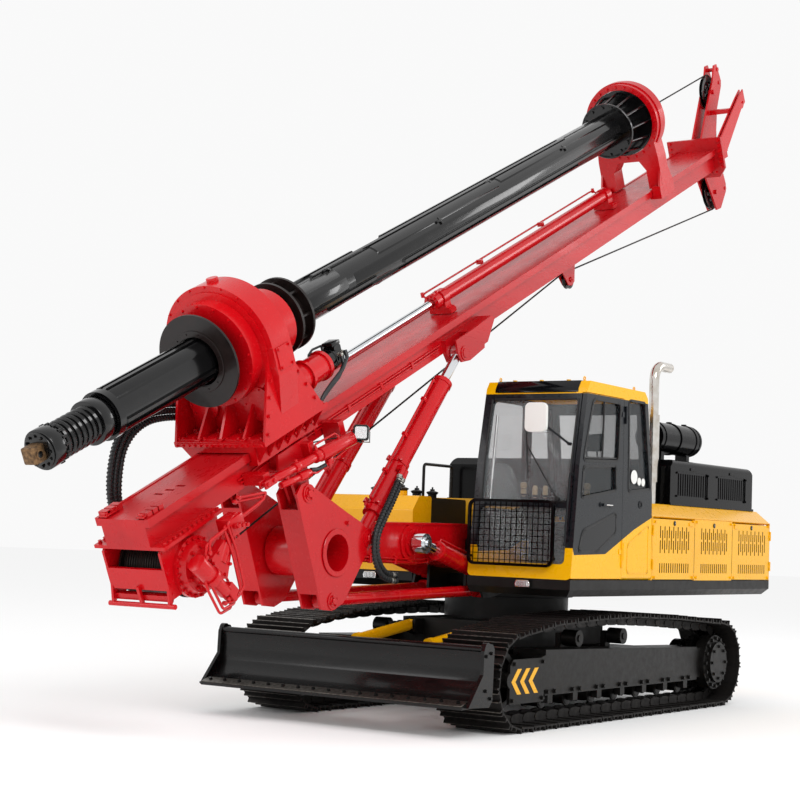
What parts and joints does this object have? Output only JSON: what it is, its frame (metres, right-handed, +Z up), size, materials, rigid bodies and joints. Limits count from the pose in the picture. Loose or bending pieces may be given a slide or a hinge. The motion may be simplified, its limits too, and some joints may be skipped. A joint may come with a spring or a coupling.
{
  "type": "rotary piling rig",
  "caption": "Crawler rotary drilling rig with a tilting mast, sliding rotary head, telescopic kelly, winch, cab, louvred hood and dozer blade",
  "frame": {"origin": "on the slew axis at ground level", "axes": "+X forward over the dozer blade, +Y to the cab side, +Z up"},
  "size_m": [10.5808, 2.745, 6.9406],
  "materials": {
    "black_steel": "semi-gloss black paint",
    "track_steel": "worn blackened steel",
    "red_paint": "gloss red paint",
    "yellow_paint": "gloss orange-yellow paint",
    "cab_grey": "satin dark grey paint",
    "chrome_rod": "hard chrome, polished",
    "exhaust_steel": "polished stainless steel",
    "cab_glass": "clear, slightly tinted",
    "seat_fabric": "woven black cloth",
    "dark_plastic": "grained plastic",
    "lamp_glass": "clear lens",
    "wire_rope": "greased wire rope",
    "bare_iron": "plain cast iron",
    "hose_rubber": "black hydraulic hose in a spiral wrap"
  },
  "bodies": {
    "chassis": {"undercarriage": "black_steel", "track_left": "track_steel", "track_right": "track_steel", "running_gear": "track_steel"},
    "blade": {"dozer_blade": "black_steel"},
    "blade_cylinders": {"blade_barrels": "yellow_paint"},
    "blade_cylinder_rods": {"blade_rods": "chrome_rod"},
    "upper_structure": {"upper_frame": "black_steel", "counterweight": "yellow_paint", "engine_block": "bare_iron", "body_panels": "yellow_paint", "hood": "black_steel", "air_cleaner": "black_steel", "exhaust": "exhaust_steel", "cab_frame": "cab_grey", "cab_glass": "cab_glass", "front_guard": "black_steel", "seat": "seat_fabric", "console": "dark_plastic", "cab_fittings": "dark_plastic", "work_lamps": "lamp_glass", "fuel_tank": "yellow_paint", "battery_box": "black_steel"},
    "operator_door": {"cab_door": "cab_grey", "door_glass": "cab_glass"},
    "left_front_door": {"door_left_front": "yellow_paint"},
    "left_rear_door": {"door_left_rear": "yellow_paint"},
    "right_front_door": {"door_right_front": "yellow_paint"},
    "right_rear_door": {"door_right_rear": "yellow_paint"},
    "boom_arm": {"boom": "red_paint"},
    "links": {"lower_links": "red_paint"},
    "luff_cylinders": {"luff_barrels": "red_paint"},
    "luff_cylinder_rods": {"luff_rods": "chrome_rod"},
    "bracket": {"mast_bracket": "red_paint"},
    "tilt_cylinders": {"mast_barrels": "red_paint", "tilt_hose_a": "hose_rubber", "tilt_hose_b": "hose_rubber"},
    "tilt_cylinder_rods": {"mast_rods": "chrome_rod"},
    "mast_assembly": {"mast": "red_paint", "mast_head": "red_paint", "winch_frame": "red_paint", "mast_rope": "wire_rope", "crowd_barrel": "red_paint", "feed_hose_a": "hose_rubber", "feed_hose_b": "hose_rubber", "feed_hose_c": "hose_rubber"},
    "drum": {"winch_drum": "wire_rope"},
    "top_sheave": {"head_sheave": "black_steel"},
    "bottom_sheave": {"lower_sheave": "black_steel"},
    "guide_sheave": {"idler_sheave": "black_steel"},
    "side_sheave": {"aux_sheave": "black_steel"},
    "head_carriage": {"power_head": "red_paint", "head_motors": "red_paint", "crowd_rod": "chrome_rod"},
    "drive": {"drive_sleeve": "black_steel"},
    "guide_frame": {"kelly_guide": "red_paint"},
    "kelly_tube": {"kelly_outer": "black_steel"},
    "kelly_second": {"kelly_middle": "black_steel"},
    "kelly_core": {"kelly_inner": "black_steel"}
  },
  "joints": [
    {"name": "slew", "type": "hinge", "parent": "chassis", "child": "upper_structure", "pos_m": [0, 0, 1], "axis": [0, 0, 1], "continuous": true},
    {"name": "boom_luff", "type": "hinge", "parent": "upper_structure", "child": "boom_arm", "pos_m": [0.907, 0, 1.426], "axis": [0, -1, 0], "range_deg": [0, 40]},
    {"name": "bracket_level", "type": "hinge", "parent": "boom_arm", "child": "bracket", "pos_m": [3.177, 0, 1.357], "axis": [0, -1, 0], "range_deg": [-40, 0]},
    {"name": "link_swing", "type": "hinge", "parent": "upper_structure", "child": "links", "pos_m": [0.93, 0, 1.064], "axis": [0, -1, 0], "range_deg": [0, 40]},
    {"name": "luff_cylinder_swing", "type": "hinge", "parent": "upper_structure", "child": "luff_cylinders", "pos_m": [0.88, 0, 1.205], "axis": [0, -1, 0], "range_deg": [0, 35.2]},
    {"name": "luff_cylinder_stroke", "type": "slide", "parent": "luff_cylinders", "child": "luff_cylinder_rods", "axis": [0.9714, 0, 0.2375], "range_m": [0, 0.12567]},
    {"name": "mast_tilt", "type": "hinge", "parent": "bracket", "child": "mast_assembly", "pos_m": [3.556, 0, 1.789], "axis": [0, 1, 0], "range_deg": [-16, 66]},
    {"name": "tilt_cylinder_swing", "type": "hinge", "parent": "bracket", "child": "tilt_cylinders", "pos_m": [2.764, 0, 1.477], "axis": [0, 1, 0], "range_deg": [-15.52, 64.02]},
    {"name": "tilt_cylinder_stroke", "type": "slide", "parent": "tilt_cylinders", "child": "tilt_cylinder_rods", "axis": [-0.6481, 0, 0.7616], "range_m": [-0.2193, 0.9044]},
    {"name": "crowd", "type": "slide", "parent": "mast_assembly", "child": "head_carriage", "axis": [-0.9007, 0, 0.4344], "range_m": [-0.85, 2]},
    {"name": "rotary_drive", "type": "hinge", "parent": "head_carriage", "child": "drive", "pos_m": [4.11858, 0, 2.84267], "axis": [-0.9007, 0, 0.4344], "continuous": true},
    {"name": "kelly_lowering", "type": "slide", "parent": "mast_assembly", "child": "guide_frame", "axis": [-0.9007, 0, 0.4344], "range_m": [-5, 0.9]},
    {"name": "kelly_turn", "type": "hinge", "parent": "guide_frame", "child": "kelly_tube", "pos_m": [-2.00617, 0, 5.7969], "axis": [-0.9007, 0, 0.4344], "continuous": true},
    {"name": "kelly_second_stage", "type": "slide", "parent": "kelly_tube", "child": "kelly_second", "axis": [-0.9007, 0, 0.4344], "range_m": [-6.5, 0]},
    {"name": "kelly_third_stage", "type": "slide", "parent": "kelly_second", "child": "kelly_core", "axis": [-0.9007, 0, 0.4344], "range_m": [-6.5, 0]},
    {"name": "winch_turn", "type": "hinge", "parent": "mast_assembly", "child": "drum", "pos_m": [4.69641, 0, 1.24165], "axis": [0, 1, 0], "continuous": true},
    {"name": "top_sheave_turn", "type": "hinge", "parent": "mast_assembly", "child": "top_sheave", "pos_m": [-4.07708, 0, 6.59039], "axis": [0, 1, 0], "continuous": true},
    {"name": "bottom_sheave_turn", "type": "hinge", "parent": "mast_assembly", "child": "bottom_sheave", "pos_m": [-4.21334, 0, 5.47925], "axis": [0, 1, 0], "continuous": true},
    {"name": "guide_sheave_turn", "type": "hinge", "parent": "mast_assembly", "child": "guide_sheave", "pos_m": [-0.96808, 0, 4.03604], "axis": [0, 1, 0], "continuous": true},
    {"name": "side_sheave_turn", "type": "hinge", "parent": "mast_assembly", "child": "side_sheave", "pos_m": [-4.32225, 0.293, 6.50103], "axis": [0, 1, 0], "continuous": true},
    {"name": "blade_lift", "type": "hinge", "parent": "chassis", "child": "blade", "pos_m": [1.15, 0, 0.56], "axis": [0, -1, 0], "range_deg": [-9, 9]},
    {"name": "blade_cylinder_swing", "type": "hinge", "parent": "chassis", "child": "blade_cylinders", "pos_m": [1.005, 0, 0.74], "axis": [0, -1, 0], "range_deg": [-7.92, 7.92]},
    {"name": "blade_cylinder_stroke", "type": "slide", "parent": "blade_cylinders", "child": "blade_cylinder_rods", "axis": [0.9906, 0, -0.1366], "range_m": [-0.0244, 0.0244]},
    {"name": "cab_door_swing", "type": "hinge", "parent": "upper_structure", "child": "operator_door", "pos_m": [0.385, 1.362, 1.2], "axis": [0, 0, 1], "range_deg": [0, 165]},
    {"name": "left_front_door_swing", "type": "hinge", "parent": "upper_structure", "child": "left_front_door", "pos_m": [-0.203, 1.358, 1.2], "axis": [0, 0, 1], "range_deg": [-95, 0]},
    {"name": "left_rear_door_swing", "type": "hinge", "parent": "upper_structure", "child": "left_rear_door", "pos_m": [-2.844, 1.358, 1.2], "axis": [0, 0, -1], "range_deg": [-95, 0]},
    {"name": "right_front_door_swing", "type": "hinge", "parent": "upper_structure", "child": "right_front_door", "pos_m": [-0.203, -1.358, 1.2], "axis": [0, 0, -1], "range_deg": [-95, 0]},
    {"name": "right_rear_door_swing", "type": "hinge", "parent": "upper_structure", "child": "right_rear_door", "pos_m": [-2.844, -1.358, 1.2], "axis": [0, 0, 1], "range_deg": [-95, 0]}
  ],
  "couplings": [
    {"joint": "bracket_level", "follows": "boom_luff", "ratio": -1},
    {"joint": "link_swing", "follows": "boom_luff", "ratio": 1},
    {"joint": "luff_cylinder_swing", "follows": "boom_luff", "ratio": 0.88},
    {"joint": "luff_cylinder_stroke", "follows": "boom_luff", "m_per_rad": 0.18},
    {"joint": "tilt_cylinder_swing", "follows": "mast_tilt", "ratio": 0.97},
    {"joint": "tilt_cylinder_stroke", "follows": "mast_tilt", "m_per_rad": 0.785},
    {"joint": "kelly_turn", "follows": "rotary_drive", "ratio": 1},
    {"joint": "blade_cylinder_swing", "follows": "blade_lift", "ratio": 0.88},
    {"joint": "blade_cylinder_stroke", "follows": "blade_lift", "m_per_rad": -0.155}
  ]
}
